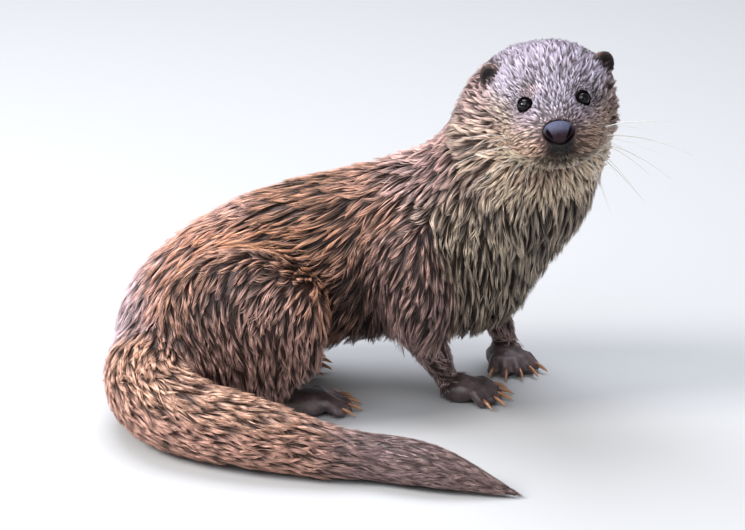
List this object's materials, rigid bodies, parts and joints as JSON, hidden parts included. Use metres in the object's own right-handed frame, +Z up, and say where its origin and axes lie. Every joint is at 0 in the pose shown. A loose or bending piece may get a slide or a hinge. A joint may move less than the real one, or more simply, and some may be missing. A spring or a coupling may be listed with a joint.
{
  "type": "eurasian otter",
  "caption": "Life-size Eurasian otter crouched on the floor in wet fur, head turned back over its shoulder, tail swept round in front, with whiskers and clawed webbed feet.",
  "frame": {"origin": "on the floor, under the middle of the whole animal, whisker tips and tail included", "axes": "+X the way the body faces, from rump to breast; +Y to the animal's left; +Z up"},
  "size_m": [0.4648, 0.312, 0.3113],
  "materials": {
    "brown_coat": "wet guard hair, satin",
    "cream_coat": "wet guard hair, satin",
    "grey_coat": "short wet fur, satin",
    "tail_coat": "short wet fur lying flat, satin",
    "foot_skin": "thinly furred skin, satin",
    "ear_fur": "short dark fur, matt",
    "nose_leather": "bare moist skin, glossy",
    "eye_gloss": "wet, high gloss",
    "claw_horn": "horn, satin",
    "whisker_hair": "stiff pale hair, satin"
  },
  "bodies": {
    "root": {"belly": "brown_coat", "chest": "brown_coat", "claw_forepaw_left_1": "claw_horn", "claw_forepaw_left_2": "claw_horn", "claw_forepaw_left_3": "claw_horn", "claw_forepaw_left_4": "claw_horn", "claw_forepaw_left_5": "claw_horn", "claw_forepaw_right_1": "claw_horn", "claw_forepaw_right_2": "claw_horn", "claw_forepaw_right_3": "claw_horn", "claw_forepaw_right_4": "claw_horn", "claw_forepaw_right_5": "claw_horn", "claw_hindpaw_left_1": "claw_horn", "claw_hindpaw_left_2": "claw_horn", "claw_hindpaw_left_3": "claw_horn", "claw_hindpaw_left_4": "claw_horn", "claw_hindpaw_left_5": "claw_horn", "claw_hindpaw_right_1": "claw_horn", "claw_hindpaw_right_2": "claw_horn", "claw_hindpaw_right_3": "claw_horn", "claw_hindpaw_right_4": "claw_horn", "claw_hindpaw_right_5": "claw_horn", "ear_left": "ear_fur", "ear_right": "ear_fur", "eye_left": "eye_gloss", "eye_right": "eye_gloss", "forearm_left": "brown_coat", "forearm_right": "brown_coat", "forepaw_left": "foot_skin", "forepaw_right": "foot_skin", "head": "grey_coat", "hindpaw_left": "foot_skin", "hindpaw_right": "foot_skin", "jaw": "cream_coat", "neck": "cream_coat", "nose": "nose_leather", "rump": "brown_coat", "shank_left": "brown_coat", "shank_right": "brown_coat", "tail_base": "tail_coat", "tail_middle": "tail_coat", "tail_tip": "tail_coat", "thigh_left": "brown_coat", "thigh_right": "brown_coat", "upper_arm_left": "brown_coat", "upper_arm_right": "brown_coat", "whisker_left_1": "whisker_hair", "whisker_left_2": "whisker_hair", "whisker_left_3": "whisker_hair", "whisker_left_4": "whisker_hair", "whisker_left_5": "whisker_hair", "whisker_right_1": "whisker_hair", "whisker_right_2": "whisker_hair", "whisker_right_3": "whisker_hair", "whisker_right_4": "whisker_hair", "whisker_right_5": "whisker_hair"}
  },
  "joints": []
}
